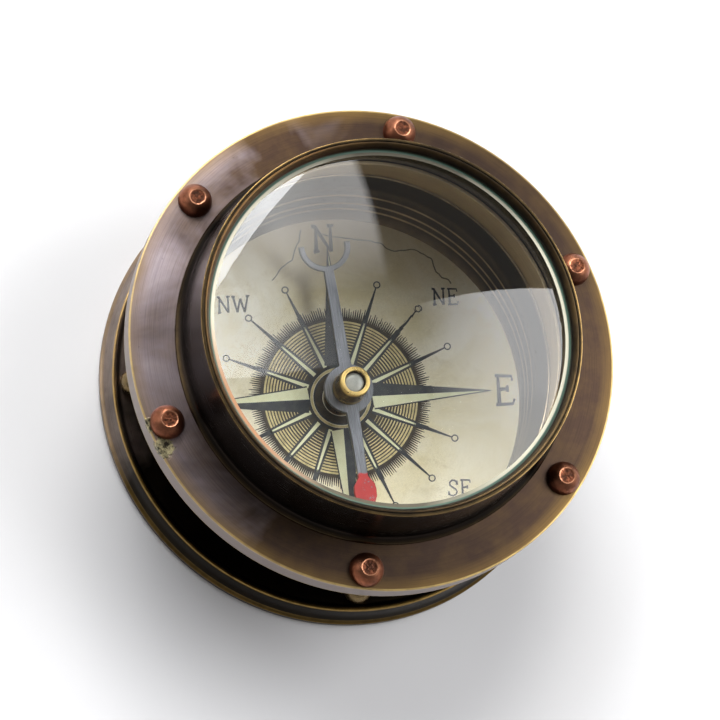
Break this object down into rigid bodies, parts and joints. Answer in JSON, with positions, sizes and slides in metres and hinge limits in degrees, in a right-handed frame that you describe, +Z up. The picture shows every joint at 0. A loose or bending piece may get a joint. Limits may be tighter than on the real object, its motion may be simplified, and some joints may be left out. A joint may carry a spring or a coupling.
{
  "type": "magnifier compass",
  "caption": "Desk compass with a needle and card under a thick magnifying lens, in a riveted porthole flange that stands on a turned base on ball-footed posts.",
  "frame": {"origin": "middle of the base plate's underside, on the axis of the lens", "axes": "+Z up through the lens, +Y towards the card's north, +X towards its east"},
  "size_m": [0.0804, 0.0804, 0.0423],
  "materials": {
    "aged_brass": "brass with a brown and purple patina, rubbed bright at its edges",
    "dark_brass": "brass with a near-black brown patina",
    "inner_brass": "satin aged brass under the lens",
    "polished_brass": "polished brass",
    "post_brass": "turned brass, darkened with age",
    "rivet_copper": "copper-coloured rivets, worn bright, with dark pitted tops",
    "steel": "hardened steel, polished to a point",
    "screw_steel": "plain steel screws",
    "needle_steel": "grey steel with one end painted red",
    "lens_glass": "polished glass with a frosted edge",
    "jewel": "polished stone bearing",
    "card_paper": "printed and lacquered aged card"
  },
  "bodies": {
    "housing": {"base_plate": "dark_brass", "flange_ring": "aged_brass", "lens_housing": "dark_brass", "lens": "lens_glass", "lens_bezel": "polished_brass", "compass_case": "inner_brass", "compass_card": "card_paper", "card_ring": "inner_brass", "pivot_stud": "polished_brass", "pivot_pin": "steel", "post_east": "post_brass", "post_north": "post_brass", "post_west": "post_brass", "post_south": "post_brass", "post_screw_east": "screw_steel", "post_screw_north": "screw_steel", "post_screw_west": "screw_steel", "post_screw_south": "screw_steel", "rivet_1": "rivet_copper", "rivet_2": "rivet_copper", "rivet_3": "rivet_copper", "rivet_4": "rivet_copper", "rivet_5": "rivet_copper", "rivet_6": "rivet_copper"},
    "needle": {"needle": "needle_steel", "needle_cap": "polished_brass", "cap_jewel": "jewel"}
  },
  "joints": [
    {"name": "needle_spin", "type": "hinge", "parent": "housing", "child": "needle", "pos_m": [0, -0.0018, 0.0152], "axis": [0, 0, 1], "continuous": true}
  ]
}
